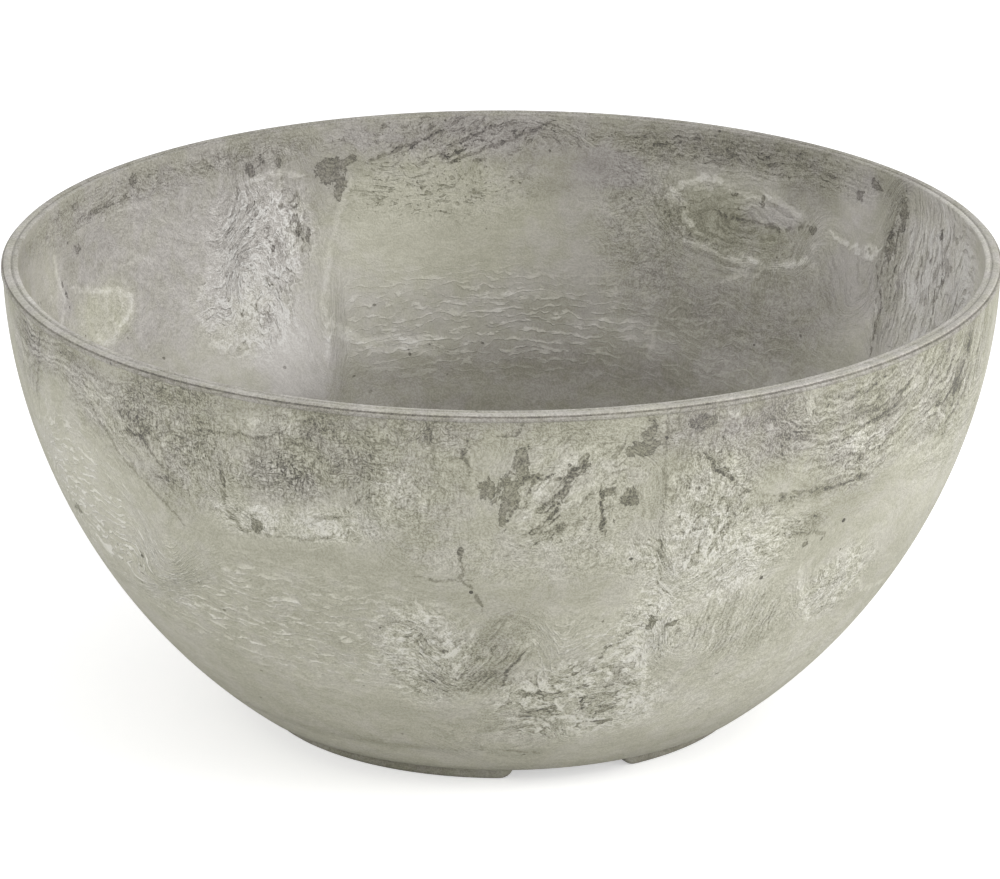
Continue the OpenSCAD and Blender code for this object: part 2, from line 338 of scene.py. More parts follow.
# What lies where. A zone has a middle, a half width in degrees and a half height in mm. It adds
# tone, which is lightness; tint, from olive to a pinkish grey; mottle, a broken grain; weave,
# fibres crossed at right angles; veins, white threads; ripple, fine raised wavelets; ridge,
# parallel flow lines; cracks, dark crevices; and dashes, short dark slits in a row. A zone with
# every=360 isn't repeated behind.
outside_zones = (
    ((-61, 137), 9, 7, dict(tone=-0.08, tint=0.3, ridge=0.9)),
    ((-50, 128), 7, 10, dict(tone=-0.09, tint=0.2, ridge=0.9, weave=0.3)),
    ((-44, 116), 6, 9, dict(tone=-0.07, tint=0.2, ridge=0.8)),
    ((-40, 107), 4, 7, dict(tone=-0.06, tint=0.1, cracks=0.6)),
    ((-70, 132), 5, 14, dict(tone=-0.06, tint=0.3, ridge=0.8)),
    ((-60, 90), 14, 26, dict(tone=0.11, ripple=1.4)),
    ((-39, 134), 8, 14, dict(tone=-0.12, tint=0.1, weave=0.9)),
    ((-35, 118), 5, 10, dict(tone=-0.02, tint=0.1, weave=0.6, cracks=0.5)),
    ((-21, 130), 8, 14, dict(tone=-0.17, tint=0.1, weave=1.0)),
    ((-26, 118), 5, 8, dict(tone=-0.09, tint=0.2, weave=0.8)),
    ((-27, 136.5), 3.6, 3, dict(tone=0.14)),
    ((44.5, 118), 7, 20, dict(tone=-0.13)),
    ((56, 126), 5, 8, dict(tone=0.05)),
    ((-31, 104), 4, 6, dict(tone=0.16, mottle=0.7, cracks=0.5)),
    ((-24, 104), 6, 5, dict(tone=0.18, mottle=0.7, cracks=0.4)),
    ((-18, 107), 5, 6, dict(tone=0.16, mottle=0.8, cracks=0.5)),
    ((-12, 118), 4, 8, dict(tone=0.08, mottle=0.6, cracks=0.4)),
    ((-24, 93), 13, 5, dict(tone=-0.04, tint=-0.3)),
    ((-28, 66), 26, 20, dict(ripple=1.3, mottle=0.15)),
    ((-56, 72), 14, 14, dict(ripple=0.7, mottle=0.2)),
    ((-9, 122), 6, 24, dict(tone=-0.05, tint=0.1, weave=0.6)),
    ((2, 140), 14, 6, dict(tone=-0.02, tint=0.1, weave=0.4)),
    ((8, 119), 9, 18, dict(tone=0.03, cracks=0.6, veins=0.2, mottle=0.2, dashes=0.3)),
    ((1.2, 70), 3.6, 9, dict(tone=-0.12, ridge=0.6)),
    ((-1.6, 60), 3.6, 8, dict(tone=-0.13, ridge=0.8)),
    ((-5, 51), 6, 5, dict(tone=-0.15, ridge=0.8)),
    ((-10, 60), 6, 18, dict(tone=0.04, veins=0.9, mottle=0.4, cracks=0.5)),
    ((8, 66), 7, 13, dict(tone=0.04, veins=0.2)),
    ((11, 63), 8, 12, dict(ripple=1.1, ridge=0.25)),
    ((4, 98), 14, 8, dict(tone=0.05, mottle=0.45, cracks=0.3)),
    ((11, 40), 12, 15, dict(tone=-0.02, veins=1.4, cracks=0.5)),
    ((19, 68), 4, 14, dict(tone=0.06, veins=1.0, cracks=0.8, mottle=0.4)),
    ((26, 94), 10, 14, dict(tone=0.08, veins=0.9, mottle=0.7, cracks=0.5)),
    ((24, 116), 5, 14, dict(tone=0.02, mottle=0.9, cracks=0.6, veins=0.4)),
    ((22, 137), 6, 8, dict(tone=-0.10, tint=0.5, weave=0.5)),
    ((15, 141), 5, 5, dict(tone=0.07)),
    ((32, 133), 5, 11, dict(tone=-0.14, tint=0.5, mottle=0.5)),
    ((44, 116), 6, 10, dict(tone=0.07, veins=0.7, tint=0.2)),
    ((52, 128), 20, 16, dict(ridge=1.15, tint=0.15, tone=-0.05)),
    ((64, 132), 12, 14, dict(tone=-0.10, ridge=0.3)),
    ((38, 108), 9, 2.5, dict(tone=-0.14, ridge=0.4)),
    ((38, 98), 3, 4, dict(tone=-0.14, mottle=0.5)),
    ((62, 92), 13, 13, dict(tone=0.05)),
    ((31, 66), 10, 13, dict(tone=-0.05, ridge=0.8, cracks=0.4)),
    ((48, 70), 6, 12, dict(tone=0.07, veins=0.8, mottle=0.7)),
    ((40, 38), 26, 16, dict(tone=0.10, mottle=0.4)),
    ((22, 18), 6, 5, dict(tone=-0.04)),
    ((26, 126), 12, 14, dict(tone=-0.06)),
    ((25, 72), 13, 18, dict(tone=0.15)),
    ((-11, 50), 12, 12, dict(tone=0.06)),
    ((8, 32), 14, 14, dict(tone=0.05)),
    ((20, 24), 13, 14, dict(tone=0.09)),
    ((-30, 17.4), 40, 1.6, dict(tone=-0.08)),
    ((-26, 11.5), 34, 4, dict(tone=0.08)),
    ((-1, 25), 10, 11, dict(ridge=0.5)),
    ((67, 110), 11, 15, dict(ridge=0.6, cracks=0.4)),
    ((90, 125), 10, 18, dict(ridge=0.7, tint=0.2, tone=-0.04)),
    ((92, 86), 10, 20, dict(ripple=0.9, tone=0.04)),
    ((92, 58), 10, 14, dict(veins=0.7, cracks=0.4)),
)
inside_zones = (
    ((232, 112), 26, 28, dict(tint=0.4, mottle=0.5)),
    ((240, 138), 24, 6, dict(tone=-0.05, weave=0.4, cracks=0.5)),
    ((243, 103), 7, 9, dict(tone=0.12, tint=-0.9, veins=0.3)),
    ((254, 122), 3, 9, dict(tone=0.10, tint=-0.2)),
    ((213, 112), 7, 17, dict(tone=0.10, tint=0.3, veins=1.2, cracks=0.2, dashes=0.6)),
    ((217, 90), 7, 13, dict(tone=0.13, veins=1.1, mottle=0.3)),
    ((204, 123), 5, 12, dict(tone=-0.07)),
    ((211, 72), 6, 16, dict(tint=0.6, tone=0.09)),
    ((186, 78), 22, 15, dict(ripple=1.0)),
    # Painted shade: the inside wall is darker low down across the back, where less light reaches
    ((176, 56), 48, 14, dict(tone=-0.20)),
    ((216, 86), 12, 24, dict(tone=0.09)),
    ((262, 141), 20, 5, dict(tone=-0.05)),
    # Painted shade at the left end of the inner wall under the rim, and painted light at its right end
    ((270, 136), 8, 14, dict(tone=-0.10, every=360)),
    ((90, 136), 9, 14, dict(tone=0.16, every=360)),
    ((190, 110), 14, 20, dict(tone=0.05, tint=-0.6)),
    ((196.5, 99), 7, 20, dict(tone=0.09)),
    ((172, 127), 8, 9, dict(tone=-0.10)),
    ((246, 127), 10, 8, dict(tone=-0.05)),
    ((188, 122), 11, 12, dict(cracks=0.9)),
    ((129, 134), 3.4, 11, dict(tone=0.12, tint=0.4)),
    ((134.4, 121), 2.4, 5, dict(tone=0.10)),
    ((200, 135), 34, 9, dict(tone=-0.06)),
    ((150, 141), 30, 5, dict(tone=-0.05)),
    ((186, 139), 16, 7, dict(tone=-0.04, tint=0.4, cracks=0.8, ridge=0.3)),
    ((212, 139), 8, 6, dict(tone=-0.08, weave=0.6)),
    ((161, 112), 6, 24, dict(tone=-0.06, mottle=0.7, cracks=0.3)),
    ((166, 128), 4, 6, dict(tone=-0.04, tint=0.8)),
    ((147, 115), 13.5, 13, dict(ridge=0.7, tone=0.10)),
    ((138, 125), 5, 8, dict(tone=-0.16)),
    ((148.5, 114.5), 10.5, 9.5, dict(tone=-0.24, tint=-0.3)),
    ((152, 117), 3.5, 8, dict(tone=-0.02, tint=-0.5)),
    ((143, 120), 4.5, 4, dict(tone=0.12, tint=0.7)),
    ((108, 116), 13, 30, dict(tone=0.29, tint=0.4, mottle=0.3, dashes=1.3, ridge=0.8)),
    ((121, 118), 2.6, 26, dict(tone=-0.10, ridge=0.4, cracks=0.5, dashes=0.6)),
    ((129, 104), 7, 14, dict(dashes=0.35, tint=0.3)),
    ((144, 92), 14, 18, dict(tone=-0.13, mottle=0.4)),
    ((124, 94), 4, 9, dict(tone=0.08)),
    ((155, 76), 26, 16, dict(tone=-0.10, tint=0.1, ripple=0.5)),
    ((146, 138), 22, 7, dict(tone=-0.12, cracks=0.7, ridge=0.5)),
)


def lay_zones(zones, kind):
    """All that the zones add of one kind."""
    soft = 0.5
    total = np.zeros(level.shape)
    for middle, wide, tall, adds in zones:
        if kind in adds:
            out = away_from(middle, wide, wide, tall, adds.get("every", 180))[2]
            total = total + adds[kind] * inside_oval(out, soft)
    return total


# Single marks that the eye finds first: dark stains below 0, pale lenses above. Each has its
# middle, half width and half height in mm, a lean in degrees and a strength.
outside_marks = (
    ((-66.5, 81), 3.6, 1.6, 25, -0.9),
    ((-29, 102), 2.4, 2.2, 0, -1.2),
    ((-24.5, 126), 4.0, 7.0, 0, -0.40),
    ((-18, 128), 3.0, 6.0, 0, -0.38),
    ((-23.4, 137), 2.0, 4.8, 0, 1.0),
    ((-27.8, 136.4), 5.6, 1.6, 0, 0.8),
    ((-28, 108), 3.4, 2.4, 0, 0.7),
    ((-47.5, 127), 2.6, 2.4, 0, -0.5),
    ((-41.5, 111.5), 2.2, 2.2, 0, -0.6),
    ((-1.5, 121.8), 2.1, 3.5, 0, -1.2),
    ((2.2, 130), 2.2, 4.6, 6, -1.2),
    ((1.8, 125.4), 1.3, 3.6, 8, -1.15),
    ((0.9, 120), 2.3, 5.6, 6, -1.2),
    ((0.2, 112.4), 1.3, 4.4, 6, -1.15),
    ((-1, 117.6), 1.0, 1.0, 0, -0.8),
    ((-7.9, 138.2), 1.7, 3.4, 8, -1.0),
    ((-7.7, 131.4), 1.1, 2.6, 0, -0.9),
    ((-3.9, 133), 1.2, 2.6, 0, -0.9),
    ((-4.7, 99.8), 1.0, 2.6, 0, -1.0),
    ((7.1, 121.6), 1.5, 4.2, -25, -0.9),
    ((9.4, 127.5), 3.4, 1.3, 35, -0.8),
    ((4.6, 125), 3.0, 1.0, 30, -0.75),
    ((14.3, 117.2), 3.1, 3.0, 0, -0.95),
    ((11.7, 119.4), 2.8, 1.1, 18, -0.85),
    ((11.3, 113.6), 1.8, 1.5, 0, -0.6),
    ((12.8, 111.2), 2.4, 2.0, 30, -0.5),
    ((16.2, 137), 1.8, 3.8, -16, -1.1),
    ((15.4, 132.8), 4.2, 2.2, 6, -1.2),
    ((22.4, 139), 4.4, 2.4, 0, -0.9),
    ((19.4, 135), 2.2, 3.4, 0, 0.75),
    ((26, 140.4), 3.4, 1.5, -10, 0.8),
    ((38.6, 90), 2.4, 1.8, -30, -0.7),
    ((38.6, 98), 3.6, 3.0, 0, -0.5),
    ((18.6, 71), 2.2, 2.6, 0, -0.9),
    ((21.8, 69.6), 2.8, 1.2, 10, -0.9),
    ((24, 44), 3.0, 1.6, 10, -0.5),
    ((16.2, 30.6), 4.4, 1.2, 5, -0.9),
    ((15.6, 36), 4.0, 0.9, 20, -0.8),
    ((13.6, 63), 1.4, 5.0, -20, -0.6),
    ((25, 124), 1.4, 6.0, 22, -0.7),
    ((34, 108.5), 5.0, 1.0, -8, -0.7),
    ((36, 138), 1.6, 5.0, 0, 0.8),
    ((43.5, 117), 2.4, 4.0, 0, 0.7),
)
inside_marks = (
    ((202.6, 129), 4.4, 3.8, 0, -1.2),
    ((199.8, 131.8), 2.8, 1.3, -25, -1.0),
    ((201.3, 122.6), 1.7, 4.4, 10, -1.0),
    ((213.4, 133.2), 1.5, 2.8, -30, -1.0),
    ((211.9, 136), 1.2, 2.2, -20, -0.9),
    ((209.5, 134), 1.2, 2.6, 0, -0.9),
    ((207.2, 111.6), 1.0, 3.2, 6, -1.1),
    ((206.1, 109.4), 1.0, 3.4, 8, -1.1),
    ((208.4, 107.4), 0.8, 1.6, 0, -0.9),
    ((207.5, 118.2), 0.8, 1.5, 0, -0.9),
    ((209.6, 111.8), 0.7, 1.3, 0, -0.8),
    ((211.4, 106.6), 0.8, 1.3, 0, -0.8),
    ((155.4, 114), 5.5, 1.8, 47, 0.8),
    ((151.4, 108), 5.5, 1.8, 24, 0.8),
    ((145.6, 104.8), 6.5, 1.7, 10, 0.8),
    ((139.4, 105.6), 6.0, 2.3, -18, 0.8),
    ((153.6, 124.6), 5.5, 1.6, -17, 0.75),
    ((110.6, 134.5), 1.8, 2.0, 0, -1.0),
    ((108.4, 121), 1.6, 3.2, 10, -0.9),
    ((120.1, 135), 2.4, 7.5, 0, -0.8),
    ((122, 122.4), 3.0, 5.5, 0, -0.8),
    ((149, 124.2), 1.3, 1.8, 0, -1.0),
    ((144.8, 123.6), 0.9, 2.2, 0, -1.0),
    ((150, 116.6), 4.6, 1.6, 4, -0.7),
    ((136.4, 118.6), 1.8, 1.2, -20, -0.9),
    ((246, 127), 3.4, 1.6, 15, -0.8),
    ((251, 117.2), 1.0, 3.4, -12, -1.0),
    ((232.8, 140), 2.6, 2.2, 0, -0.8),
    ((129, 134), 1.6, 2.0, 0, -0.9),
    ((126, 139.5), 2.6, 2.0, 0, -0.8),
)


def lay_marks(marks):
    """The strongest mark at each point, falling off from its middle."""
    steepness = 0.7
    total = np.zeros(level.shape)
    for middle, wide, tall, lean, strength in marks:
        side, rise = away_from(middle, wide, wide, tall)[:2]
        side = side * mm_per_degree
        turned = math.radians(lean)
        along_it = side * math.cos(turned) + rise * math.sin(turned)
        across_it = rise * math.cos(turned) - side * math.sin(turned)
        own = strength * np.exp(-steepness * ((along_it / wide) ** 2 + (across_it / tall) ** 2))
        total = np.where(np.abs(own) > np.abs(total), own, total)
    return total


# Seams, where two pours met: crooked lines through these places, dark cracks below 0 and pale
# edges above, each with its strength
outside_seams = (
    (-0.40, (18.2, 144), (17.8, 130), (18.3, 112), (18.6, 95), (18.8, 86)),
    (-0.60, (-32.8, 122), (-33.1, 106), (-31.5, 99.8), (-27, 99.4), (-22.3, 100.2), (-19, 102.8)),
    (-0.45, (-35.2, 130.2), (-30, 131.6), (-26.6, 132.8), (-24.8, 135.2)),
    (0.60, (-28.9, 122.2), (-28, 119.6)),
    (-0.45, (-7.6, 130), (-7.2, 124.6)),
    (-0.60, (-3.7, 136), (-4.2, 133), (-3.8, 128.2)),
    (-0.60, (-9.5, 90.2), (-7, 89.6), (-4.8, 90.8), (-4.6, 96)),
    (-0.70, (-3.8, 87.6), (-3.1, 84.8), (-2.5, 82)),
    (0.50, (39.5, 80), (41.5, 68), (45, 59)),
    (-0.80, (2.4, 61), (1, 56), (0.2, 50)),
    (-0.90, (11.6, 41), (12.4, 37), (13.6, 34)),
    (-0.80, (14.2, 38), (15.6, 37.4), (17.6, 40)),
    (-0.70, (4, 37), (6, 38), (7.4, 36)),
    (0.70, (19, 60), (20, 48), (21, 40), (22, 36)),
    (0.80, (-10, 80), (-9, 74), (-7, 69)),
    (0.80, (-13, 62), (-10, 59), (-6, 63)),
    (-1.00, (2, 124.4), (4.2, 125.8), (6.4, 125.6), (8.6, 128.6), (9.4, 131)),
    (-0.90, (7.7, 124.6), (6.5, 119.2), (4.3, 115)),
    (-0.80, (3.4, 124.2), (2.6, 115.2)),
    (0.40, (2.4, 112), (3.4, 120), (6, 127), (9, 133)),
    (-0.90, (6.2, 114.8), (3.8, 108.4)),
    (-0.80, (7.1, 111.4), (3.8, 103.2)),
    (-1.00, (10.9, 119), (11.3, 107.4)),
    (-0.50, (4.4, 106), (7, 108), (9.4, 111)),
    (-0.60, (12.1, 128.6), (13.2, 134.2)),
    (-0.50, (12.6, 126.2), (14.4, 127.4)),
    (-0.60, (0.4, 138.4), (1.2, 138.8), (2.2, 142.4)),
    (-0.60, (-15, 117), (-18, 111), (-21, 107)),
    (-0.50, (-52.8, 126.6), (-48.8, 113.2), (-45.6, 107.8), (-43, 102.8), (-40.5, 97.6)),
    (-0.40, (-47.6, 127.8), (-44.3, 122), (-41, 112.6)),
    (-0.40, (-64, 143), (-65.5, 130), (-68, 119)),
    (-0.70, (23, 128), (24, 124), (26, 120)),
    (-0.50, (28, 115), (31, 111), (35, 110), (41, 108), (45, 108.6)),
    (-0.50, (38, 139), (44, 137), (49, 141)),
    (-0.50, (37, 124), (43, 125), (49, 128), (52, 135)),
    (-0.50, (58, 121), (61, 122.6), (65, 129), (67, 138)),
    (-0.50, (62, 112), (67, 120), (71, 134)),
    (0.50, (52, 68), (57, 60), (66, 56)),
    (-0.50, (34, 96), (38, 94), (41, 92)),
    (-0.40, (0, 18), (3, 17), (6, 16.4)),
)
inside_seams = (
    (0.32, (199.4, 126), (201.7, 114.6), (203.7, 100.2), (205.2, 88.6), (205, 80.8), (206.1, 69.8)),
    (0.60, (189, 73), (196, 74.5), (200, 74), (204.6, 81)),
    (0.45, (190, 69), (199, 72), (205, 79)),
    (0.30, (160, 80), (167, 79), (173, 79)),
    (0.35, (170, 86), (178, 87), (184, 85)),
    (0.80, (158.3, 120.6), (156.6, 125), (153.9, 127.6), (151, 128), (149.3, 126)),
    (0.75, (157.6, 119.8), (155.6, 118.2), (155.4, 113.2), (154, 110.4), (152.5, 108.4)),
    (0.95, (155.7, 106.8), (152.8, 106), (150.1, 104.8), (147.7, 103.4), (146.1, 102.2)),
    (0.60, (147, 104), (143.1, 103.6), (139.2, 105.4), (136.9, 108.2), (135.6, 112.8)),
    (-0.60, (154.4, 109.6), (151.4, 107.2), (149, 106)),
    (-0.60, (150.7, 117.2), (147.7, 116.4), (144.7, 116.4), (140.8, 116), (137.8, 119)),
    (0.65, (147.4, 125), (142.9, 125.4), (139.6, 122.2), (137.9, 120.6)),
    (0.80, (132.6, 118.6), (130.2, 116.8), (127.8, 117.2), (125.7, 119.6)),
    (1.00, (128.6, 115.2), (125.7, 115.4), (124.6, 118.8)),
    (0.70, (148.7, 96.4), (147.3, 98.4), (144.3, 99.8)),
    (-0.70, (124, 113.2), (121.8, 103.2), (121.7, 98.6), (121.3, 89.2)),
    (-0.80, (110.7, 135.2), (109.6, 126), (108.3, 118)),
    (-0.80, (110.2, 116.6), (109.4, 111), (109, 107)),
    (-0.60, (107, 141), (106.6, 136), (105, 127)),
    (-0.60, (174, 142), (179, 137), (183.4, 132), (186.4, 129)),
    (-0.60, (181, 141), (186, 135), (188.6, 131)),
    (-0.60, (188, 139), (193, 134), (198, 130)),
    (0.60, (207, 129), (210, 131), (214, 129.4)),
    (0.60, (248, 115.2), (245.2, 112.8), (242, 109.2), (238.6, 108.2), (236.3, 104.6), (236.7, 100.6)),
    (0.60, (236.7, 100.6), (239.3, 97.6), (242.5, 94.2), (245.2, 96.2)),
    (0.50, (252.3, 129.4), (252.4, 121.8), (251.5, 114.6), (253.7, 109.2)),
    (0.40, (234.9, 115), (232.5, 115.2), (231.2, 112.8)),
    (-0.50, (233, 135), (238, 134.6), (243, 136)),
    (0.35, (228, 131), (236, 132), (246, 131.4)),
    (0.35, (158, 80), (158.4, 72)),
)


def lay_seams(seams):
    """Distance in mm to either side of the nearest seam, and that seam's strength around it."""
    out_of_reach, no_seam = 99.0, 9.0
    nearest = np.full(level.shape, out_of_reach)
    beside = np.full(level.shape, no_seam)
    strength = np.zeros(level.shape)
    fades_from, fades_to = 2.2, 4.4
    for own, *stops in seams:
        for start, end in zip(stops, stops[1:]):
            run_x, run_y = (end[0] - start[0]) * mm_per_degree, end[1] - start[1]
            length = math.hypot(run_x, run_y)
            side, rise = away_from(start, 1, 1, 1)[:2]
            side = side * mm_per_degree
            share = np.clip((side * run_x + rise * run_y) / length**2, 0, 1)
            off = np.hypot(side - share * run_x, rise - share * run_y)
            hand = np.sign(run_x * rise - run_y * side)
            closer = off < nearest
            nearest = np.where(closer, off, nearest)
            beside = np.where(closer, off * hand, beside)
            fade = np.clip((fades_to - off) / (fades_to - fades_from), 0, 1)
            strength = np.where(closer, own * fade, strength)
    return beside, strength


# Under the base and on the floor inside, the streaks run on from the wall towards the middle
place = np.broadcast_to(bearing, height.shape)
below = np.isin(part_of, ("under", "foot"))[:, None]
over_floor = np.isin(part_of, ("hall", "collar"))[:, None]
level = np.where(below, radius - base_r + foot_h, height)
level = np.where(over_floor, radius - floor_r + floor_z, level)
within = np.isin(part_of, ("ring_inside", "inside", "hall", "collar"))[:, None]
kinds = ("tone", "tint", "mottle", "weave", "veins", "ripple", "ridge", "cracks", "dashes")
held = {}
for kind in kinds:
    held[kind] = np.where(within, lay_zones(inside_zones, kind), lay_zones(outside_zones, kind))
held["flow"] = np.where(within, lay_flow(inside_sweeps), lay_flow(outside_sweeps))
held["mark"] = np.where(within, lay_marks(inside_marks), lay_marks(outside_marks))
for inner, outer, name in zip(lay_seams(inside_seams), lay_seams(outside_seams), ("beside", "seam")):
    held[name] = np.where(within, inner, outer)

# The inside is greyer than the outside and the rim is greyer still
rim_parts = np.isin(part_of, ("lip", "groove", "ring", "valley", "ring_inside"))[:, None]
held["tint"] = np.where(rim_parts, 0.60, held["tint"] + np.where(within, 0.5, 0.08))
held["tint"][below[:, 0]] += 0.15

# Painted shade: the wall darkens over its lowest 30 mm and just under the rim, and the rim does on its far
# side
painted_shade_near_base = 1 - np.clip(level / 30, 0, 1)
painted_shade_under_rim = np.clip((level - 133) / 8, 0, 1) * ~rim_parts
painted_shade_far_rim = inside_oval(away_from((180, 145), 66, 66, 12, 360)[2], 0.35) * rim_parts
held["tone"] = held["tone"] - (0.05 * painted_shade_near_base + 0.11 * painted_shade_under_rim) * ~within - 0.17 * painted_shade_far_rim

# Dirt and painted shade in the steps of the rim, and painted shade where the base turns under and on the
# feet
for name, darker in (("groove", 0.34), ("valley", 0.05), ("lip", 0.14), ("edge", 0.10)):
    held["tone"][part_of == name] -= darker
for foot_bearing, reach in ((-42, 34), (52, 26)):
    # Painted shade on the feet, which stand under the bowl
    painted_foot_shade = inside_oval(away_from((foot_bearing, -4), reach, reach, 9)[2], 0.5)
    held["tone"] = held["tone"] - 0.20 * painted_foot_shade * ~within

# The rim has less of all this, and the grit is strongest where the marbling is
for kind in ("mottle", "weave", "veins", "cracks", "dashes", "ripple", "ridge", "mark", "seam"):
    held[kind] = np.where(rim_parts, 0.3 * held[kind], held[kind])
rough = 0.6 * held["mottle"] + 0.5 * held["weave"] + 0.4 * (held["cracks"] + held["veins"] + held["ridge"])
held["grit"] = np.clip(0.4 + rough, 0, 1.1) * np.where(within, 0.75, 1.0)
held["grit"] = np.where(rim_parts, 0.6, held["grit"])
seam = held.pop("seam")
held["dark_seam"], held["pale_seam"] = np.minimum(seam, 0), np.maximum(seam, 0)
for name, values in held.items():
    layer = bowl_mesh.attributes.new(name, "FLOAT", "POINT")
    layer.data.foreach_set("value", values.astype(np.float32).ravel())


# Stone-filled resin, pressed and left unpolished. It is satin rather than gloss, and what the eye
# sees is the filler drawn out in fibres by the flow, with white threads, pits and raised ripples.
resin = bpy.data.materials.new("marbled_stone_resin")
resin.use_nodes = True
tree = resin.node_tree
tree.nodes.clear()
there = {name: add(tree, "Attribute", {}, attribute_name=name).outputs["Fac"] for name in held}
coordinates = add(tree, "TexCoord", {}).outputs["Object"]
in_mm = add(tree, "VectorMath", {0: coordinates, "Scale": 1 / MM}, operation="SCALE")

# The poured resin wanders slowly, with about 18 mm from bend to bend, and shivers every 3 mm
pushed = in_mm
line = there["flow"]
for size, push, lift in ((18.0, 9.0, 8.0), (3.0, 2.0, 2.4)):
    bends = add(tree, "TexNoise", {"Vector": in_mm, "Scale": 1 / size, "Detail": 2.0})
    centred = add(tree, "VectorMath", {0: bends.outputs["Color"], 1: (-0.5, -0.5, -0.5)}, operation="ADD")
    shove = add(tree, "VectorMath", {0: centred, "Scale": push}, operation="SCALE")
    pushed = add(tree, "VectorMath", {0: pushed, 1: shove}, operation="ADD")
    line = add(tree, "Math", {0: bends.outputs["Fac"], 1: lift, 2: line}, operation="MULTIPLY_ADD")

# Patterns drawn out along the flow: width across it and length along it in mm, and their detail
pattern = {}
for name, width, length, detail, roughness in (
    ("fibre", 0.8, 2.6, 2.0, 0.65),
    ("strand", 1.7, 6.0, 3.0, 0.62),
    ("band", 6.0, 26.0, 4.0, 0.60),
    ("wavelet", 2.2, 7.5, 1.5, 0.45),
    ("crevice", 1.8, 6.0, 3.0, 0.60),
    ("thread", 6.4, 9.5, 3.0, 0.55),
    ("web", 2.5, 4.6, 2.0, 0.55),
    ("slit", 1.3, 7.5, 2.0, 0.60),
):
    slowed = add(tree, "VectorMath", {0: in_mm, "Scale": width / length}, operation="SCALE")
    links = {"Vector": slowed, "W": line, "Scale": 1 / width, "Detail": detail, "Roughness": roughness}
    pattern[name] = add(tree, "TexNoise", links, noise_dimensions="4D").outputs["Fac"]

# Patterns that don't follow the flow, by the size of their grains in mm
for name, size, detail, roughness in (
    ("grit", 0.6, 1.0, 0.60),
    ("grain", 2.2, 5.0, 0.74),
    ("cloud", 11.0, 5.0, 0.65),
    ("torn", 3.4, 2.0, 0.50),
    ("speck", 1.3, 1.0, 0.50),
):
    links = {"Vector": pushed, "Scale": 1 / size, "Detail": detail, "Roughness": roughness}
    pattern[name] = add(tree, "TexNoise", links).outputs["Fac"]

# Fibres that stand upright and fibres that lie level, which cross in the woven patches
crossed = []
for stretch in ((1.3, 1.3, 0.20), (0.22, 0.22, 1.3)):
    stretched = add(tree, "VectorMath", {0: pushed, 1: stretch}, operation="MULTIPLY")
    links = {"Vector": stretched, "Scale": 1.0, "Detail": 2.0, "Roughness": 0.7}
    crossed.append(add(tree, "TexNoise", links))
pattern["weave"] = add(tree, "Math", {0: crossed[0], 1: crossed[1]}, operation="MINIMUM")

# White threads follow the middle level of a pattern, and a shaded line runs beside each
for name, source, side in (
    ("thread_line", "thread", 0.500),
    ("thread_shade", "thread", 0.440),
    ("web_line", "web", 0.500),
    ("web_shade", "web", 0.430),
):
    off = add(tree, "Math", {0: pattern[source], 1: -side}, operation="ADD")
    pattern[name] = add(tree, "Math", {0: off}, operation="ABSOLUTE")

# Ridges and the crests of ripples are waves across the flow: pitch in mm, and what shakes them
for name, pitch, shaken_by, shake in (("ridge", 2.3, "band", 16.0), ("crest", 2.7, "wavelet", 14.0)):
    phase = add(tree, "Math", {0: line, 1: 2 * math.pi / pitch}, operation="MULTIPLY")
    phase = add(tree, "Math", {0: pattern[shaken_by], 1: shake, 2: phase}, operation="MULTIPLY_ADD")
    phase = add(tree, "Math", {0: pattern["strand"], 1: 5.0, 2: phase}, operation="MULTIPLY_ADD")
    pattern[name] = add(tree, "Math", {0: phase}, operation="SINE")

# Stains, lenses and seams are torn at the edge, and all the fine lines are broken up
torn = add(tree, "Math", {0: pattern["torn"], 1: -0.5}, operation="ADD")
crumbled = add(tree, "Math", {0: pattern["grain"], 1: -0.5}, operation="ADD")
ragged = add(tree, "Math", {0: torn, 1: 2.0, 2: crumbled}, operation="MULTIPLY_ADD")
nibbled = add(tree, "Math", {0: ragged, 1: 0.55}, operation="MULTIPLY")
nibbled = add(tree, "Math", {0: crumbled, 1: 0.8, 2: nibbled}, operation="MULTIPLY_ADD")
pattern["stain"] = add(tree, "Math", {0: there["mark"], 1: -1.0, 2: nibbled}, operation="MULTIPLY_ADD")
pattern["lens"] = add(tree, "Math", {0: there["mark"], 1: nibbled}, operation="ADD")
wandering = add(tree, "Math", {0: pattern["cloud"], 1: 5.0, 2: -2.5}, operation="MULTIPLY_ADD")
crooked = add(tree, "Math", {0: ragged, 1: 0.9, 2: there["beside"]}, operation="MULTIPLY_ADD")
crooked = add(tree, "Math", {0: crooked, 1: wandering}, operation="ADD")
crooked = add(tree, "Math", {0: crooked}, operation="ABSOLUTE")
pattern["seam"] = add(tree, "Math", {0: crumbled, 1: 2.4, 2: crooked}, operation="MULTIPLY_ADD")
share_of = {}
for kind, breaker, low, high in (
    ("veins", "torn", 0.38, 0.50),
    ("dark_seam", "torn", 0.36, 0.46),
    ("pale_seam", "torn", 0.32, 0.46),
    ("ridge", "strand", 0.38, 0.56),
    ("ripple", "strand", 0.40, 0.52),
):
    broken = add(tree, "MapRange", {"Value": pattern[breaker], "From Min": low, "From Max": high})
    share_of[kind] = add(tree, "Math", {0: there[kind], 1: broken}, operation="MULTIPLY")
share_of["band"] = add(tree, "Math", {0: there["ridge"], 1: 1.8, 2: 0.8}, operation="MULTIPLY_ADD")

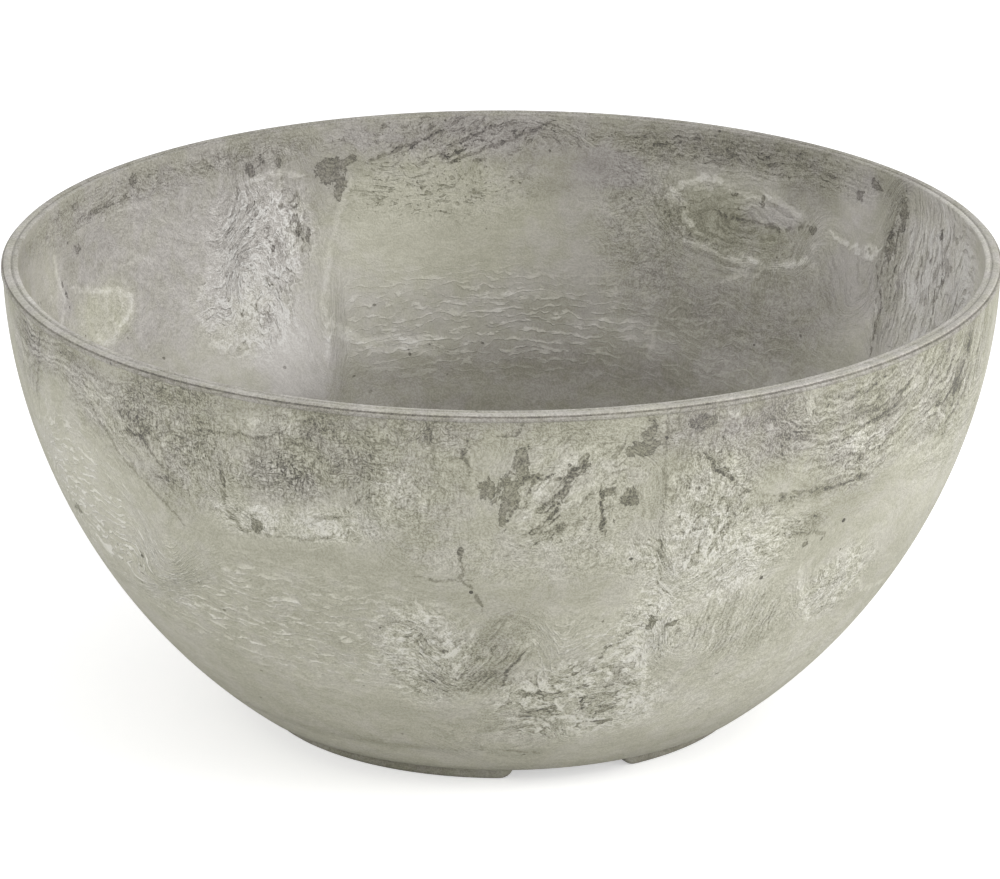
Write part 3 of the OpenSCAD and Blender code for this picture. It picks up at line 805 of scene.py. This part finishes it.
# Single pits, by place and radius in mm, and a scatter of small ones
nearest_pit = None
for (where, high), size in (
    ((33.1, 81.4), 0.7),
    ((-51, 77), 0.8),
    ((44.3, 94.6), 0.8),
    ((-3.6, 86), 0.7),
    ((7.4, 129), 0.6),
    ((15, 96), 0.6),
):
    spot_r, spot_turn = wall_radius(high), math.radians(where)
    spot = (spot_r * math.sin(spot_turn), -spot_r * math.cos(spot_turn), high)
    off = add(tree, "VectorMath", {0: in_mm, 1: spot}, operation="DISTANCE").outputs["Value"]
    off = add(tree, "Math", {0: off, 1: size}, operation="DIVIDE")
    if nearest_pit:
        off = add(tree, "Math", {0: nearest_pit, 1: off}, operation="MINIMUM")
    nearest_pit = off
pattern["single_pit"] = nearest_pit
cells = add(tree, "TexVoronoi", {"Vector": pushed, "Scale": 1 / 6.0})
drawn = add(tree, "SeparateColor", {0: cells.outputs["Color"]})
rare = add(tree, "MapRange", {"Value": drawn, "From Min": 0.80, "From Max": 0.81})
pattern["pit"] = cells.outputs["Distance"]

# Each layer: the pattern, the range of it that is used and what that becomes, what scales it,
# how much lightness it adds and how many mm of relief
lightness = add(tree, "Math", {0: there["tone"], 1: 0.56}, operation="ADD")
relief = 0.0
level_of = {}
for name, low, high, start, end, share, light, depth in (
    ("band", 0.36, 0.64, -0.5, 0.5, share_of["band"], 0.07, 0.0),
    ("cloud", 0.38, 0.62, -0.5, 0.5, 1.0, 0.06, 0.0),
    ("strand", 0.36, 0.64, -0.5, 0.5, there["grit"], 0.12, 0.06),
    ("fibre", 0.36, 0.64, -0.5, 0.5, there["grit"], 0.16, 0.08),
    ("grit", 0.34, 0.66, -0.5, 0.5, there["grit"], 0.34, 0.07),
    ("grain", 0.40, 0.60, -0.5, 0.5, there["mottle"], 0.15, 0.12),
    ("weave", 0.36, 0.56, -0.5, 0.5, there["weave"], 0.31, 0.14),
    # Painted highlight: the crests of the ripples are painted lighter as well as raised
    ("crest", 0.20, 0.95, 0.0, 1.0, share_of["ripple"], 0.20, 0.18),
    ("ridge", -1.0, 0.3, -0.7, 0.3, share_of["ridge"], 0.22, 0.20),
    ("thread_line", 0.0, 0.060, 1.0, 0.0, share_of["veins"], 0.32, 0.18),
    ("thread_shade", 0.0, 0.036, 1.0, 0.0, share_of["veins"], -0.26, -0.12),
    ("web_line", 0.0, 0.060, 1.0, 0.0, share_of["veins"], 0.14, 0.08),
    ("web_shade", 0.0, 0.050, 1.0, 0.0, share_of["veins"], -0.12, -0.06),
    ("crevice", 0.38, 0.41, 1.0, 0.0, there["cracks"], -0.28, -0.20),
    ("slit", 0.39, 0.46, 1.0, 0.0, there["dashes"], -0.24, -0.20),
    ("slit", 0.56, 0.62, 0.0, 1.0, there["dashes"], 0.10, 0.10),
    ("speck", 0.32, 0.35, 1.0, 0.0, there["cracks"], -0.26, -0.16),
    ("lens", 0.48, 0.54, 0.0, 1.0, 1.0, 0.18, 0.06),
    ("seam", 0.3, 0.9, 1.0, 0.0, share_of["dark_seam"], 0.42, 0.14),
    ("seam", 0.4, 1.6, 1.0, 0.0, share_of["pale_seam"], 0.34, 0.18),
    ("pit", 0.06, 0.12, 1.0, 0.0, rare, -0.30, -0.25),
    ("single_pit", 0.8, 1.0, 1.0, 0.0, 1.0, -0.60, -0.50),
):
    links = {"Value": pattern[name], "From Min": low, "From Max": high, "To Min": start, "To Max": end}
    level_of[name] = add(tree, "MapRange", links, interpolation_type="SMOOTHSTEP")
    scaled = add(tree, "Math", {0: level_of[name], 1: share}, operation="MULTIPLY")
    lightness = add(tree, "Math", {0: scaled, 1: light, 2: lightness}, operation="MULTIPLY_ADD")
    relief = add(tree, "Math", {0: scaled, 1: depth, 2: relief}, operation="MULTIPLY_ADD")

# A stain is a sunken patch with little filler: dark, with a fine grain, and darkest at its edge
stain = add(tree, "MapRange", {"Value": pattern["stain"], "From Min": 0.50, "From Max": 0.54})
stained = add(tree, "Math", {0: pattern["strand"], 1: 0.30}, operation="MULTIPLY")
for name, light in (("grit", 0.26), ("fibre", 0.14)):
    stained = add(tree, "Math", {0: level_of[name], 1: light, 2: stained}, operation="MULTIPLY_ADD")
links = {"Value": pattern["stain"], "From Min": 0.54, "From Max": 0.70, "To Min": -0.10, "To Max": 0.0}
stained = add(tree, "Math", {0: stained, 1: add(tree, "MapRange", links)}, operation="ADD")
stain_share = add(tree, "Math", {0: stain, 1: 0.75}, operation="MULTIPLY")
lightness = add(tree, "Mix", {"Factor": stain_share, "A": lightness, "B": stained})
relief = add(tree, "Math", {0: stain, 1: -0.14, 2: relief}, operation="MULTIPLY_ADD")

# Two rows of shades from dark to light, one olive and one a pinkish grey, mixed by the tint
shades = []
for steps in (
    ("#57554B", "#83816F", "#A6A493", "#C2C0B0", "#DDDBCF"),
    ("#565350", "#827D78", "#A6A29D", "#C2BEB9", "#DDDBD7"),
):
    ramp = add(tree, "ValToRGB", {0: lightness})
    stops = ramp.color_ramp.elements
    while len(stops) < len(steps):
        stops.new(0.5)
    for number in range(len(steps)):
        stops[number].position = number / (len(steps) - 1)
    for stop, step in zip(stops, steps):
        stop.color = colour(step)
    shades.append(ramp)
tint = add(tree, "Math", {0: level_of["cloud"], 1: 0.4, 2: there["tint"]}, operation="MULTIPLY_ADD")
tint = add(tree, "Clamp", {"Value": tint})
tinted = add(tree, "MixRGB", {"Fac": tint, "Color1": shades[0], "Color2": shades[1]})
raised = add(tree, "Bump", {"Height": relief, "Strength": 1.0, "Distance": 1 * MM})
links = {"Value": lightness, "From Min": 0.2, "From Max": 0.9, "To Min": 0.62, "To Max": 0.44}
satin = add(tree, "MapRange", links)
links = {"Base Color": tinted, "Roughness": satin, "Normal": raised, "IOR": 1.5}
skin = add(tree, "BsdfPrincipled", links)
add(tree, "OutputMaterial", {"Surface": skin})
bowl_mesh.materials.append(resin)


# The watering plate. It is moulded in one from dark polypropylene, with a fine spark-eroded
# grain, and lifts out by its knob. Its shape is already right in the frame.
plate_plastic = bpy.data.materials.new("moulded_polypropylene_spark_grain")
plate_plastic.use_nodes = True
tree = plate_plastic.node_tree
tree.nodes.clear()
coordinates = add(tree, "TexCoord", {}).outputs["Object"]
in_mm = add(tree, "VectorMath", {0: coordinates, "Scale": 1 / MM}, operation="SCALE")
# The real grain is about 0.2 mm and is drawn at 0.6 mm, the finest that a close view shows
grain = add(tree, "TexNoise", {"Vector": in_mm, "Scale": 1 / 0.6, "Detail": 3.0, "Roughness": 0.6})
# Water leaves a faint, paler film of lime in patches of about 14 mm
film = add(tree, "TexNoise", {"Vector": in_mm, "Scale": 1 / 14, "Detail": 4.0, "Roughness": 0.6})
film_share = add(tree, "MapRange", {"Value": film, "From Min": 0.45, "From Max": 0.75, "To Max": 0.5})
links = {"Fac": film_share, "Color1": colour("#454744"), "Color2": colour("#5A5B57")}
plate_colour = add(tree, "MixRGB", links)
plate_gloss = add(tree, "MapRange", {"Value": grain, "To Min": 0.42, "To Max": 0.66})
plate_grain = add(tree, "Bump", {"Height": grain, "Strength": 0.5, "Distance": 0.1 * MM})
links = {"Base Color": plate_colour, "Roughness": plate_gloss, "Normal": plate_grain, "IOR": 1.49}
add(tree, "OutputMaterial", {"Surface": add(tree, "BsdfPrincipled", links)})
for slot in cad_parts["watering_plate"].material_slots:
    slot.material = plate_plastic


# The drain plug. It is a soft black rubber moulding, pushed up into the drain, and its pull
# tab hangs under the base. Its shape is already right in the frame.
plug_rubber = bpy.data.materials.new("moulded_black_rubber_matt")
plug_rubber.use_nodes = True
tree = plug_rubber.node_tree
tree.nodes.clear()
coordinates = add(tree, "TexCoord", {}).outputs["Object"]
in_mm = add(tree, "VectorMath", {0: coordinates, "Scale": 1 / MM}, operation="SCALE")
# A bloom of grey dust, about 5 mm across, over a pebbled skin of 0.8 mm
bloom = add(tree, "TexNoise", {"Vector": in_mm, "Scale": 1 / 5, "Detail": 5.0, "Roughness": 0.65})
bloom_share = add(tree, "MapRange", {"Value": bloom, "From Min": 0.42, "From Max": 0.70, "To Max": 0.7})
links = {"Fac": bloom_share, "Color1": colour("#242422"), "Color2": colour("#3A3936")}
rubber_colour = add(tree, "MixRGB", links)
pebble = add(tree, "TexNoise", {"Vector": in_mm, "Scale": 1 / 0.8, "Detail": 2.0, "Roughness": 0.5})
rubber_gloss = add(tree, "MapRange", {"Value": pebble, "To Min": 0.60, "To Max": 0.82})
rubber_skin = add(tree, "Bump", {"Height": pebble, "Strength": 0.6, "Distance": 0.1 * MM})
links = {"Base Color": rubber_colour, "Roughness": rubber_gloss, "Normal": rubber_skin, "IOR": 1.52}
add(tree, "OutputMaterial", {"Surface": add(tree, "BsdfPrincipled", links)})
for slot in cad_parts["drain_plug"].material_slots:
    slot.material = plug_rubber
